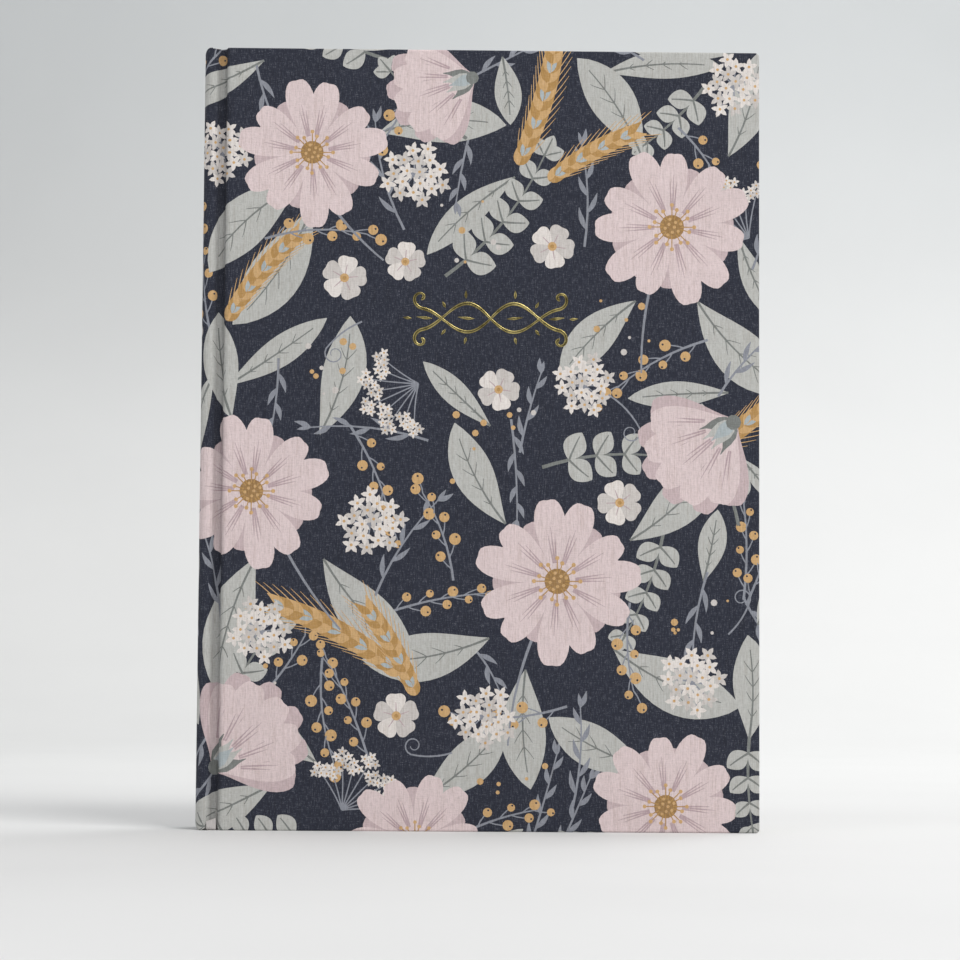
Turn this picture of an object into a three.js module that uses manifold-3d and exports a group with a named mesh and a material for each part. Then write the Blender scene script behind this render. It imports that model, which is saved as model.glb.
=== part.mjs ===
// A cloth-covered hardcover recipe notebook, standing upright on its tail.
// Millimetres. +X runs from the spine to the fore-edge, +Y from the front cover to the back cover, and +Z from
// tail to head. The origin is at the centre of the footprint, on the surface that the book stands on.

import * as THREE from 'three';
import { mergeVertices } from 'three/addons/utils/BufferGeometryUtils.js';
import Module from 'manifold-3d';

// Driving dimensions

const pageWidth = 209.5; // from the sewn fold to the trimmed fore-edge
const pageHeight = 297;
const square = 3; // how far the covers stand out past the pages at head, tail and fore-edge
const clothThickness = 0.4;
const boardThickness = 2.3;
const endpaperThickness = 0.2; // of the leaf glued to the board
const leafThickness = 0.3; // of the free flyleaf
const sectionCount = 12;
const turningSections = 4; // at the front, and as many at the back
const sectionThickness = 1.35;
const leafGap = 0.3; // between pieces that turn on their own
const ribbonGap = 0.5; // between the two middle sections, for the ribbon
const gutterRadius = 9; // round a hinge line, inside which the sewn folds stay with the spine
const turnIn = 15; // width of the cloth folded over the boards
const spineTurnIn = 10;
const jointWidth = 2.5; // from the shoulder to the board's edge
const grooveDepth = 1.9;
const grooveFillet = 0.9;
const shoulderAngle = 60; // degrees that the shoulder rounds on past the front, down into the groove
const runningGap = 0.3; // between the shoulder and the cover's joint
const notchHeight = 1.2; // how far the cloth of the joint stands back at head and tail
const notchSetback = 0.4; // from the hinge line to the start of the notch
const spineCornerRadius = 3.5;
const coverCornerRadius = 1.6;
const jointCornerRadius = 1;
const coverEdgeRadius = 0.8;
const hollow = 0.3; // between the spine board and the lining
const liningThickness = 0.2;
const mullThickness = 0.2;
const mullFlange = 25; // width glued to each board
const mullShortfall = 12; // at head and tail, against the pages
const mullSetback = 0.1; // from the inner edge of the pastedown
const pastedownMargin = 0.4; // against the pages, at head, tail and fore-edge
const tapeThickness = 0.25;
const tapeWidth = 12;
const tapeCount = 4;
const headbandRadius = 1;
const headbandTongue = 8;
const tongueThickness = 0.3;
const footGap = 0.3; // between the pages and a headband
const ribbonWidth = 4;
const ribbonThickness = 0.3;
const ribbonLift = 0.1; // over the surface that the book stands on
const ribbonBend = 1.2; // radius of the ribbon's turn below the pages
const ribbonGapBeside = 0.3; // from the headband
const ribbonTop = 1.5; // how far the ribbon stands out of the pages' head
const ribbonReach = 2.4; // past the hinge line, out into the notch

// Colours of the cloth without its print, of the boards, papers and threads

const finish = {
  cloth: { color: 0x383c48, roughness: 0.9 },
  board: { color: 0x8f8a80, roughness: 0.95 },
  endpaper: { color: 0xf1eee6, roughness: 0.85 },
  page: { color: 0xf6f3ea, roughness: 0.85 },
  mull: { color: 0xd9d2c0, roughness: 0.95 },
  lining: { color: 0xb79a72, roughness: 0.9 },
  tape: { color: 0xe6e0d0, roughness: 0.9 },
  band: { color: 0xd8cfc0, roughness: 0.8 },
  ribbon: { color: 0xc9c3bf, roughness: 0.45 },
};

// Sizes worked out from the driving dimensions

const coverThickness = clothThickness + boardThickness + clothThickness + endpaperThickness;
const spineWall = clothThickness + boardThickness;
const foldSetback = hollow + liningThickness + mullThickness + tapeThickness;
const coverWidth = spineWall + foldSetback + pageWidth + square;
const coverHeight = pageHeight + 2 * square;
const staticSections = sectionCount - 2 * turningSections;
const turningThickness = 2 * leafGap + leafThickness + turningSections * (sectionThickness + leafGap);
const blockThickness = 2 * turningThickness + staticSections * sectionThickness + ribbonGap;
const bookThickness = blockThickness + 2 * coverThickness;

const left = -coverWidth / 2;
const right = coverWidth / 2;
const front = -bookThickness / 2;

// A cover turns about the centre of its shoulder's rounding, level with the face of the pages.
const hingeX = left + coverThickness;
const hingeY = front + coverThickness; // of the front cover; the back cover's is opposite

const spineInner = left + spineWall;
const foldX = spineInner + foldSetback;
const pageRight = right - square;
const pageTail = square;
const pageHead = coverHeight - square;
const boardLeft = hingeX + coverThickness + jointWidth;
const boardRight = right - clothThickness;
const boardFront = front + clothThickness;
const boardBack = boardFront + boardThickness;
const turnedBack = boardBack + clothThickness; // the inner face of the turned-in cloth
const jointRadius = coverThickness + runningGap;
const grooveY = front + grooveDepth;
const shoulderEnd = shoulderAngle - 90;
const lining = foldX - tapeThickness - mullThickness - liningThickness;
const mullTail = pageTail + mullShortfall;
const mullHead = pageHead - mullShortfall;

const arcSteps = 12;
const foldSteps = 6;
const clear = 1; // how far a cutting solid reaches past what it cuts

const wasm = await Module();
wasm.setup();

const book = new THREE.Group();
book.name = 'recipe_book';

// Outlines, solids and booleans

function arc(x, y, radius, from, to, steps) {
  const points = [];
  for (let step = 0; step <= steps; step += 1) {
    const angle = THREE.MathUtils.degToRad(from + ((to - from) * step) / steps);
    points.push([x + radius * Math.cos(angle), y + radius * Math.sin(angle)]);
  }
  return points;
}

// An arc round the front hinge line, in plan, between two angles in degrees
function hingeArc(radius, from, to, steps = arcSteps) {
  return arc(hingeX, hingeY, radius, from, to, steps);
}

function mirrored(points) {
  return points.map(([x, y]) => [x, -y]).reverse();
}

function outline(points) {
  return new THREE.Shape(points.map(([x, y]) => new THREE.Vector2(x, y)));
}

function roundedRectangle(low, high, leftRadius, rightRadius, steps = 5) {
  return outline([
    ...arc(high[0] - rightRadius, low[1] + rightRadius, rightRadius, -90, 0, steps),
    ...arc(high[0] - rightRadius, high[1] - rightRadius, rightRadius, 0, 90, steps),
    ...arc(low[0] + leftRadius, high[1] - leftRadius, leftRadius, 90, 180, steps),
    ...arc(low[0] + leftRadius, low[1] + leftRadius, leftRadius, 180, 270, steps),
  ]);
}

// An outline in plan, drawn up from one height to another
function upright(points, bottom, top) {
  const geometry = new THREE.ExtrudeGeometry(outline(points), { depth: top - bottom, bevelEnabled: false });
  geometry.translate(0, 0, bottom);
  return geometry;
}

// An outline seen from the front (X and Z), drawn back from one Y to another, with its long edges rounded
function slab(shape, nearY, farY, edgeRadius = 0) {
  const geometry = new THREE.ExtrudeGeometry(shape, {
    depth: farY - nearY - 2 * edgeRadius,
    bevelEnabled: edgeRadius > 0,
    bevelThickness: edgeRadius,
    bevelSize: edgeRadius,
    bevelOffset: -edgeRadius,
    bevelSegments: 3,
  });
  geometry.rotateX(Math.PI / 2);
  geometry.translate(0, farY - edgeRadius, 0);
  return geometry;
}

function box(low, high) {
  const size = high.map((value, axis) => value - low[axis]);
  const geometry = new THREE.BoxGeometry(...size);
  geometry.translate(low[0] + size[0] / 2, low[1] + size[1] / 2, low[2] + size[2] / 2);
  return geometry;
}

function solid(geometry) {
  const plain = geometry.clone();
  plain.deleteAttribute('normal');
  plain.deleteAttribute('uv');
  const merged = mergeVertices(plain, 1e-5);
  return new wasm.Manifold(
    new wasm.Mesh({
      numProp: 3,
      vertProperties: new Float32Array(merged.attributes.position.array),
      triVerts: new Uint32Array(merged.index.array),
    }),
  );
}

function geometryOf(body) {
  const mesh = body.getMesh();
  const geometry = new THREE.BufferGeometry();
  geometry.setAttribute('position', new THREE.BufferAttribute(mesh.vertProperties, 3));
  geometry.setIndex(new THREE.BufferAttribute(mesh.triVerts, 1));
  const faceted = geometry.toNonIndexed();
  faceted.computeVertexNormals();
  return faceted;
}

// Mirrors a geometry from the front of the book to the back, keeping its faces outward
function toBack(geometry) {
  const faceted = geometry.index ? geometry.toNonIndexed() : geometry.clone();
  faceted.scale(1, -1, 1);
  const position = faceted.attributes.position;
  const second = new THREE.Vector3();
  const third = new THREE.Vector3();
  for (let corner = 0; corner < position.count; corner += 3) {
    second.fromBufferAttribute(position, corner + 1);
    third.fromBufferAttribute(position, corner + 2);
    position.setXYZ(corner + 1, ...third);
    position.setXYZ(corner + 2, ...second);
  }
  faceted.computeVertexNormals();
  return faceted;
}

function place(name, geometry, finishName) {
  const material = new THREE.MeshStandardMaterial({ ...finish[finishName], metalness: 0 });
  const mesh = new THREE.Mesh(geometry, material);
  mesh.name = name;
  book.add(mesh);
}

// A front piece, and its mirror image at the back
function placePair(name, geometry, finishName) {
  place(`front_${name}`, geometry, finishName);
  place(`back_${name}`, toBack(geometry), finishName);
}

// The joint's cloth stands back at head and tail, between the spine and the boards.
function notches() {
  const low = [hingeX + notchSetback, front - clear];
  const high = [boardLeft - clothThickness, -front + clear];
  const tail = solid(box([...low, -clear], [...high, notchHeight]));
  const head = solid(box([...low, coverHeight - notchHeight], [...high, coverHeight + clear]));
  return tail.add(head);
}

// Spine board, and the cloth that wraps it, is turned in over its ends and rounds both shoulders

function spineEnds(inset) {
  const radius = spineCornerRadius - inset;
  const shape = roundedRectangle([left + inset, inset], [boardLeft, coverHeight - inset], radius, inset + clear);
  return solid(slab(shape, front - clear, -front + clear));
}

function spineBoard() {
  const radius = coverThickness - clothThickness;
  const edge = THREE.MathUtils.radToDeg(Math.acos((hingeX - spineInner) / radius)) - 180;
  const shoulder = hingeArc(radius, edge, -180);
  const body = solid(upright([...shoulder, ...mirrored(shoulder)], 0, coverHeight));
  return body.intersect(spineEnds(clothThickness));
}

function spineCloth(board) {
  const radius = coverThickness - clothThickness;
  const turned = spineInner + clothThickness;
  const edge = THREE.MathUtils.radToDeg(Math.acos((hingeX - turned) / radius)) - 180;
  const outer = hingeArc(coverThickness, shoulderEnd, -180, 2 * arcSteps);
  const inner = hingeArc(radius, edge, shoulderEnd);
  const wrap = solid(upright([...outer, ...mirrored(outer), ...mirrored(inner), ...inner], 0, coverHeight));
  const windowY = hingeY - radius + clothThickness;
  const window = solid(
    box([spineInner, windowY, spineTurnIn], [turned + clear, -windowY, coverHeight - spineTurnIn]),
  );
  return wrap.intersect(spineEnds(0)).subtract(board).subtract(window).subtract(notches());
}

const spineBoardBody = spineBoard();
place('spine_board', geometryOf(spineBoardBody), 'board');
place('spine_cloth', geometryOf(spineCloth(spineBoardBody)), 'cloth');

// Covers: board, cloth with three turn-ins and the pressed joint, mull flange and pastedown

function coverBoard() {
  const low = [boardLeft, clothThickness];
  const high = [boardRight, coverHeight - clothThickness];
  const cornerRadius = coverCornerRadius - clothThickness;
  const shape = roundedRectangle(low, high, jointCornerRadius - clothThickness, cornerRadius);
  return slab(shape, boardFront, boardBack);
}

// The cloth's floor in the groove, and its fillet up to the board's edge, in plan
function jointProfile() {
  const wall = boardLeft - clothThickness;
  const floorInner = grooveY + clothThickness;
  const angleAt = (y) => -THREE.MathUtils.radToDeg(Math.asin((hingeY - y) / jointRadius));
  const fillet = arc(wall - grooveFillet, grooveY - grooveFillet, grooveFillet, 90, 0, foldSteps);
  return [
    ...fillet,
    [wall + clothThickness / 2, grooveY - grooveFillet],
    [wall + clothThickness / 2, floorInner],
    ...hingeArc(jointRadius, angleAt(floorInner), angleAt(grooveY), 2),
  ];
}

function coverCloth() {
  const shape = roundedRectangle(
    [boardLeft - clothThickness, 0],
    [right, coverHeight],
    jointCornerRadius,
    coverCornerRadius,
  );
  const skin = solid(slab(shape, front, turnedBack, coverEdgeRadius));
  const window = solid(
    box(
      [boardLeft - 2 * clothThickness, boardBack, turnIn],
      [right - turnIn, turnedBack + clear, coverHeight - turnIn],
    ),
  );
  const joint = solid(upright(jointProfile(), 0, coverHeight));
  const covered = solid(coverBoard());
  return geometryOf(skin.subtract(window).add(joint).subtract(covered).subtract(notches()));
}

function mullFlangeSheet() {
  return box(
    [hingeX + jointRadius + mullSetback, boardBack, mullTail],
    [boardLeft + mullFlange, boardBack + mullThickness, mullHead],
  );
}

// The glued leaf steps down from the turned-in cloth on to the board.
function pastedown() {
  const sheet = solid(
    box(
      [hingeX + jointRadius, turnedBack, pageTail + pastedownMargin],
      [pageRight - pastedownMargin, hingeY, pageHead - pastedownMargin],
    ),
  );
  const sunk = solid(
    box(
      [boardLeft, boardBack, turnIn],
      [right - turnIn, turnedBack + endpaperThickness / 2, coverHeight - turnIn],
    ),
  );
  return geometryOf(sheet.add(sunk).subtract(solid(mullFlangeSheet())));
}

placePair('board', coverBoard(), 'board');
placePair('cloth', coverCloth(), 'cloth');
placePair('mull', mullFlangeSheet(), 'mull');
placePair('pastedown', pastedown(), 'endpaper');

// Leaves and sewn sections. near and far are the depths of a section's faces behind the hinge line.

function sewnFold(near, far) {
  const radius = (far - near) / 2;
  return arc(foldX + radius, hingeY + (near + far) / 2, radius, 270, 90, foldSteps);
}

function gutterArc(radius, near, far) {
  const angleAt = (depth) => THREE.MathUtils.radToDeg(Math.asin(depth / radius));
  return hingeArc(radius, angleAt(near), angleAt(far), 3);
}

function foldInGutter(near, far) {
  const points = [...sewnFold(near, far), ...gutterArc(gutterRadius, near, far).reverse()];
  return upright(points.reverse(), pageTail, pageHead);
}

function turningLeaves(near, far) {
  const points = [
    [pageRight, hingeY + near],
    [pageRight, hingeY + far],
    ...gutterArc(gutterRadius + leafGap, near, far).reverse(),
  ];
  return upright(points, pageTail, pageHead);
}

function wholeSection(near, far) {
  const points = [...sewnFold(near, far), [pageRight, hingeY + far], [pageRight, hingeY + near]];
  return upright(points.reverse(), pageTail, pageHead);
}

const sectionName = (number) => `section_${String(number).padStart(2, '0')}`;

placePair('flyleaf', turningLeaves(leafGap, leafGap + leafThickness), 'endpaper');
placePair('flyleaf_fold', foldInGutter(leafGap, leafGap + leafThickness), 'endpaper');

for (let number = 1; number <= sectionCount / 2; number += 1) {
  const turns = number <= turningSections;
  const before = Math.min(number - 1, turningSections) * leafGap;
  const near = 2 * leafGap + leafThickness + before + (number - 1) * sectionThickness;
  const far = near + sectionThickness;
  const opposite = sectionName(sectionCount + 1 - number);
  const leaves = turns ? turningLeaves(near, far) : wholeSection(near, far);
  place(sectionName(number), leaves, 'page');
  place(opposite, toBack(leaves), 'page');
  if (turns) {
    const fold = foldInGutter(near, far);
    place(`${sectionName(number)}_fold`, fold, 'page');
    place(`${opposite}_fold`, toBack(fold), 'page');
  }
}

// What holds the sections together at the spine

const blockFront = hingeY + leafGap;

place(
  'spine_lining',
  box([lining, blockFront, mullTail], [lining + liningThickness, -blockFront, mullHead]),
  'lining',
);
place(
  'spine_mull',
  box([lining + liningThickness, blockFront, mullTail], [foldX - tapeThickness, -blockFront, mullHead]),
  'mull',
);
for (let number = 1; number <= tapeCount; number += 1) {
  const middle = pageTail + (pageHeight * number) / (tapeCount + 1);
  const low = [foldX - tapeThickness, blockFront, middle - tapeWidth / 2];
  place(`sewing_tape_${number}`, box(low, [foldX, -blockFront, middle + tapeWidth / 2]), 'tape');
}

// A headband is a corded bead on the end of the pages, with a tongue glued down the folds.
function headbandProfile() {
  const tongueX = foldX - tongueThickness;
  const seat = pageHead + footGap;
  const bead = arc(tongueX + headbandRadius, seat + headbandRadius, headbandRadius, -90, 180, arcSteps);
  return [[tongueX, pageHead - headbandTongue], [foldX, pageHead - headbandTongue], [foldX, seat], ...bead];
}

function headband(atTail) {
  const points = headbandProfile().map(([x, z]) => [x, atTail ? coverHeight - z : z]);
  return slab(outline(atTail ? points.reverse() : points), blockFront, -blockFront);
}

place('headband', headband(false), 'band');
place('tailband', headband(true), 'band');

// Ribbon marker: down between the middle sections, round below the pages and out into the front notch.
// Each station of its path holds the middle of the ribbon, and how far it has turned from upright to level.

function ribbonStations() {
  const lane = foldX - tongueThickness + 2 * headbandRadius + ribbonGapBeside + ribbonWidth / 2;
  const floor = ribbonLift + ribbonThickness / 2;
  const out = hingeX + notchSetback + ribbonGapBeside + ribbonWidth / 2;
  const stations = [{ middle: [lane, 0, pageHead + ribbonTop], angle: 0 }];
  for (let step = 0; step <= foldSteps; step += 1) {
    const angle = (step / foldSteps) * (Math.PI / 2);
    const y = -ribbonBend * (1 - Math.cos(angle));
    stations.push({ middle: [lane, y, floor + ribbonBend * (1 - Math.sin(angle))], angle });
  }
  stations.push({ middle: [out, hingeY, floor], angle: Math.PI / 2 });
  stations.push({ middle: [out, hingeY - ribbonReach, floor], angle: Math.PI / 2 });
  return stations;
}

function ribbon() {
  const corners = [
    [-1, 1],
    [1, 1],
    [1, -1],
    [-1, -1],
  ];
  const stations = ribbonStations();
  const positions = stations.flatMap(({ middle: [x, y, z], angle }) =>
    corners.flatMap(([across, through]) => [
      x + (across * ribbonWidth) / 2,
      y + (through * Math.cos(angle) * ribbonThickness) / 2,
      z - (through * Math.sin(angle) * ribbonThickness) / 2,
    ]),
  );
  const indices = [0, 2, 1, 0, 3, 2];
  for (let station = 0; station + 1 < stations.length; station += 1) {
    for (let corner = 0; corner < 4; corner += 1) {
      const here = station * 4 + corner;
      const beside = station * 4 + ((corner + 1) % 4);
      indices.push(here, beside, beside + 4, here, beside + 4, here + 4);
    }
  }
  const last = (stations.length - 1) * 4;
  indices.push(last, last + 1, last + 2, last, last + 2, last + 3);
  const geometry = new THREE.BufferGeometry();
  geometry.setAttribute('position', new THREE.Float32BufferAttribute(positions, 3));
  geometry.setIndex(indices);
  const faceted = geometry.toNonIndexed();
  faceted.computeVertexNormals();
  return faceted;
}

place('ribbon_marker', ribbon(), 'ribbon');

export default book;
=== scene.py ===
"""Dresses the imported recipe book: printed cloth, foil, papers, sewn sections, headbands and ribbon, on a pale floor.

Lengths are written in millimetres and become metres in add_piece(). The frame is the CAD model's own: +X from the
spine to the fore-edge, +Y from the front cover to the back cover, +Z from tail to head.
"""

import math
import random

import bmesh
import bpy
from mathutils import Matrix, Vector
from mathutils.geometry import delaunay_2d_cdt


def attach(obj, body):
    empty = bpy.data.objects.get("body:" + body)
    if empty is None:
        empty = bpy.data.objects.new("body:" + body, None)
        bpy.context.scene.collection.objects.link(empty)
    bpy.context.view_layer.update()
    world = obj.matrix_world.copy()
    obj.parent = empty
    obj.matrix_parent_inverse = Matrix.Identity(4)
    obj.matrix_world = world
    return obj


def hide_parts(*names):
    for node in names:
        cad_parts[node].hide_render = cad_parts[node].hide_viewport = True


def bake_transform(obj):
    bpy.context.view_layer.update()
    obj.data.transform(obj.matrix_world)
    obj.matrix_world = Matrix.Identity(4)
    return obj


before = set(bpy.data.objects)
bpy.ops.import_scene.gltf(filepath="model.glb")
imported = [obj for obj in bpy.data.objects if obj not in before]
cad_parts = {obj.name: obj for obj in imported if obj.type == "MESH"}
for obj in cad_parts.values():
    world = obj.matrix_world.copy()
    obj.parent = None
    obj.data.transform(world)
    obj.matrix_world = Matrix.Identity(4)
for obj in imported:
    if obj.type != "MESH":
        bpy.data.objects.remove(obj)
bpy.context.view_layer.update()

MM = 0.001

# Sizes of the book, as in the CAD model

LEFT, RIGHT = -108.075, 108.075
FRONT = -13.75
HEIGHT = 303.0
HINGE_X, HINGE_Y = -104.775, -10.45
COVER = 3.3
CLOTH = 0.4
WALL_X = -99.375  # the cover cloth's edge beside the joint
GROOVE_Y = -11.85
GROOVE_FILLET = 0.9
EDGE = 0.8  # rounding of the covers' edges
CORNER = 1.6  # rounding of the covers' outer corners
TURNED_Y = -10.65  # inner face of the turned-in cloth
TURN_IN, SPINE_TURN_IN = 15.0, 10.0
FOLD_X = -104.425
PAGE_RIGHT, PAGE_TAIL, PAGE_HEAD = 105.075, 3.0, 300.0
SECTION = 1.35  # thickness of a section of eight leaves

# Roundings that the cloth has and the solids leave out

EASE = 2.0  # how far along X the cloth rounds out of the groove on to the cover
SPINE_CORNER = 2.2
NOTCH, HEAD_NOTCH = 1.2, 0.1  # how far the joint draws in at tail and head


def smooth(value):
    value = min(1.0, max(0.0, value))
    return value * value * (3 - 2 * value)


def spread(low, high, count):
    return [low + (high - low) * i / count for i in range(count + 1)]


# Materials


class Nodes:
    """A material under construction: its node tree, shader and a few short ways to join nodes."""

    def __init__(self, name):
        self.material = bpy.data.materials.new(name)
        self.material.use_nodes = True
        self.tree = self.material.node_tree
        self.shader = self.tree.nodes["Principled BSDF"]

    def node(self, kind, **settings):
        made = self.tree.nodes.new("ShaderNode" + kind)
        for key, value in settings.items():
            setattr(made, key, value)
        return made

    def put(self, target, value):
        """Sets an input to a number or a colour, or joins it to an output."""
        if isinstance(value, bpy.types.NodeSocket):
            self.tree.links.new(value, target)
        elif isinstance(value, tuple) and target.type == "RGBA":
            target.default_value = (*value, 1)
        else:
            target.default_value = value

    def made(self, kind, inputs, output=0, **settings):
        """A new node's output, after its inputs are set or joined by their names or numbers."""
        made = self.node(kind, **settings)
        for key, value in inputs.items():
            self.put(made.inputs[key], value)
        return made.outputs[output]

    def flat_place(self):
        """Millimetres on the flat cloth or paper, from the UV map."""
        return self.made("UVMap", {}, uv_map="flat")

    def place(self):
        """Millimetres in the frame."""
        return self.scaled(self.metres(), 1000, 1000, 1000)

    def metres(self):
        return self.made("TexCoord", {}, "Object")

    def split(self, vector):
        made = self.node("SeparateXYZ")
        self.put(made.inputs[0], vector)
        return made.outputs

    def math(self, operation, *values):
        return self.made("Math", dict(enumerate(values)), operation=operation)

    def times(self, first, second):
        return self.math("MULTIPLY", first, second)

    def grown(self, value, factor, start):
        """The value times a factor, added to a start."""
        return self.math("MULTIPLY_ADD", value, factor, start)

    def scaled(self, vector, x, y, z=1.0):
        return self.made("VectorMath", {0: vector, 1: (x, y, z)}, operation="MULTIPLY")

    def noise(self, vector, scale, detail=2.0, roughness=0.5):
        inputs = {"Vector": vector, "Scale": scale, "Detail": detail, "Roughness": roughness}
        return self.made("TexNoise", inputs, "Fac")

    def ramp(self, value, low, high, start=0.0, end=1.0):
        """Spreads low..high of a value over start..end, smoothly."""
        inputs = {"Value": value, "From Min": low, "From Max": high, "To Min": start, "To Max": end}
        return self.made("MapRange", inputs, interpolation_type="SMOOTHSTEP")

    def between(self, value, low, full, fall, end):
        """1 where the value lies between full and fall, and 0 below low and above end."""
        return self.times(self.ramp(value, low, full), self.ramp(value, fall, end, 1.0, 0.0))

    def mix(self, factor, first, second, kind="MIX"):
        return self.made("Mix", {0: factor, 6: first, 7: second}, 2, data_type="RGBA", blend_type=kind)

    def tinted(self, factor, colour, tint):
        """The colour, multiplied by a tint as far as the factor says."""
        return self.mix(factor, colour, self.mix(1.0, colour, tint, "MULTIPLY"))

    def finish(self, colour, bump, roughness, **sockets):
        """Sets the shader. bump is a height, a strength and a distance in metres."""
        height, strength, distance = bump
        normal = self.made("Bump", {"Height": height, "Strength": strength, "Distance": distance})
        values = {"Base_Color": colour, "Normal": normal, "Roughness": roughness, **sockets}
        for key, value in values.items():
            self.put(self.shader.inputs[key.replace("_", " ")], value)
        return self.material


def linear(red, green, blue):
    """A colour written as in the photograph, from 0 to 255, in linear light."""
    def one(value):
        share = value / 255
        return share / 12.92 if share <= 0.04045 else ((share + 0.055) / 1.055) ** 2.4
    return (one(red), one(green), one(blue))


def cloth_material():
    """Linen-weave book cloth: upright and level threads of uneven thickness, with print that doesn't fill them all."""
    m = Nodes("printed_cloth")
    place = m.flat_place()
    ink = m.made("Attribute", {}, "Color", attribute_name="ink")
    warp = m.ramp(m.noise(m.scaled(place, 2.3, 0.36), 1.0, 2.0, 0.65), 0.3, 0.7)
    weft = m.ramp(m.noise(m.scaled(place, 0.45, 2.3), 1.0, 2.0, 0.65), 0.3, 0.7)
    slub = m.noise(m.scaled(place, 1.7, 0.07), 1.0, 2.0, 0.6)
    speck = m.noise(place, 3.1, 2.0, 0.7)
    cloud = m.noise(place, 0.035, 3.0)
    threads = m.grown(warp, 0.58, m.times(weft, 0.42))
    shade = m.grown(threads, 0.29, 0.825)
    shade = m.times(shade, m.grown(m.ramp(slub, 0.35, 0.68), -0.1, 1.05))
    shade = m.times(shade, m.grown(cloud, 0.14, 0.93))
    colour = m.mix(1.0, ink, shade, "MULTIPLY")
    colour = m.tinted(m.times(m.ramp(slub, 0.5, 0.72), 0.2), colour, linear(232, 214, 198))
    bare = m.times(m.ramp(threads, 0.5, 0.9), m.ramp(speck, 0.42, 0.7))
    colour = m.mix(m.times(bare, 0.38), colour, linear(165, 167, 178))
    groove_shade = m.between(m.split(place)[0], 16.2, 18.6, 22.4, 25.2)  # painted shade: the groove's dark line, where the joint lies in shade
    colour = m.tinted(m.times(groove_shade, 0.42), colour, linear(120, 120, 124))
    bump = m.grown(speck, 0.3, threads), 0.6, 0.0002
    roughness = m.grown(threads, -0.1, 0.88)
    return m.finish(colour, bump, roughness, Specular_IOR_Level=0.2, Sheen_Weight=0.05, Sheen_Roughness=0.5)


def foil_material(name, dark, light):
    m = Nodes(name)
    place = m.metres()
    grain = m.noise(place, 2400, 3.0, 0.6)
    broad = m.noise(place, 260, 2.0)
    colour = m.mix(m.ramp(broad, 0.3, 0.7), dark, light)
    return m.finish(colour, (grain, 0.5, 0.00012), m.grown(broad, 0.16, 0.2), Metallic=1.0)


def paper_material(name, colour, ruled=False):
    """Uncoated paper with a soft mottle and fibres, and plain ruled lines on the pages."""
    m = Nodes(name)
    place = m.flat_place()
    mottle = m.noise(place, 0.12, 4.0, 0.6)
    fibre = m.noise(m.scaled(place, 1.0, 2.2), 2.2, 3.0, 0.7)
    tone = m.math("ADD", m.times(mottle, 0.06), m.grown(fibre, 0.05, 0.945))
    shade = m.mix(1.0, colour, tone, "MULTIPLY")
    if ruled:
        across, up, _ = m.split(place)
        row = m.math("PINGPONG", m.math("ADD", up, 0.5), 4.0)  # lines are 8 mm apart
        line = m.ramp(row, 0.1, 0.22, 1.0, 0.0)
        inside = m.between(up, 19.0, 19.2, 268.0, 268.2)
        edge = m.between(across, -88.0, -87.8, 93.0, 93.2)
        shade = m.mix(m.times(m.times(line, inside), m.times(edge, 0.75)), shade, linear(150, 152, 162))
    return m.finish(shade, (fibre, 0.25, 0.0001), 0.88, Specular_IOR_Level=0.25)


def leaf_edge_material():
    """The cut edges of a section's leaves: fine lines of painted shade in the gaps between them, a little uneven."""
    m = Nodes("leaf_edges")
    place = m.flat_place()
    through = m.split(place)[0]
    waver = m.noise(m.scaled(place, 0.0, 0.08), 1.0)
    gap = m.ramp(m.math("PINGPONG", m.grown(waver, 0.05, through), SECTION / 16), 0.004, 0.034)
    tone = m.noise(m.scaled(place, 5.9, 0.02), 1.0)
    burr = m.noise(m.scaled(place, 6.0, 1.4), 1.0)
    light = m.mix(m.ramp(tone, 0.3, 0.7), linear(214, 206, 190), linear(236, 230, 217))
    # Painted shade: the gaps between the leaves are darker
    colour = m.mix(gap, linear(150, 142, 128), light)
    colour = m.mix(m.times(burr, 0.18), colour, linear(196, 187, 170))
    return m.finish(colour, (m.grown(burr, 0.3, gap), 0.5, 0.0001), 0.9, Specular_IOR_Level=0.2)


def woven_material(name, light, dark, pitch, roughness, gap):
    """A plain weave seen close, for the mull and the tapes."""
    m = Nodes(name)
    place = m.place()
    wave = [m.math("SINE", m.times(m.split(place)[axis], 2 * math.pi / pitch)) for axis in range(3)]
    cross = m.times(wave[2], m.math("ADD", wave[0], wave[1]))
    height = m.grown(m.noise(place, 1.6, 3.0), 0.6, cross)
    colour = m.mix(m.ramp(height, -gap, 1.2), dark, light)
    return m.finish(colour, (height, 0.5, 0.0001), roughness, Specular_IOR_Level=0.25)


def board_material(name, light, dark, scale):
    """Pressed grey board or brown kraft paper, with flecks and fibres."""
    m = Nodes(name)
    place = m.place()
    fibre = m.noise(m.scaled(place, 1.0, 1.0, 0.4), scale, 5.0, 0.7)
    fleck = m.noise(place, 2.4 * scale, 1.0)
    colour = m.mix(m.ramp(fibre, 0.3, 0.7), dark, light)
    colour = m.mix(m.times(m.ramp(fleck, 0.66, 0.74), 0.5), colour, linear(70, 64, 58))
    return m.finish(colour, (fibre, 0.4, 0.0001), 0.93, Specular_IOR_Level=0.2)


def thread_material():
    """The headbands' thread, in two colours that change every few turns along Y."""
    m = Nodes("headband_thread")
    place = m.place()
    turn = m.math("SINE", m.times(m.split(place)[1], 2 * math.pi / 3.0))
    colour = m.mix(m.ramp(turn, -0.08, 0.08), linear(226, 219, 205), linear(62, 66, 80))
    ply = m.noise(m.scaled(place, 3.0, 9.0, 3.0), 1.0)
    colour = m.mix(m.times(ply, 0.35), colour, linear(140, 134, 126))
    return m.finish(colour, (ply, 0.5, 0.0001), 0.55, Sheen_Weight=0.2)


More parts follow.
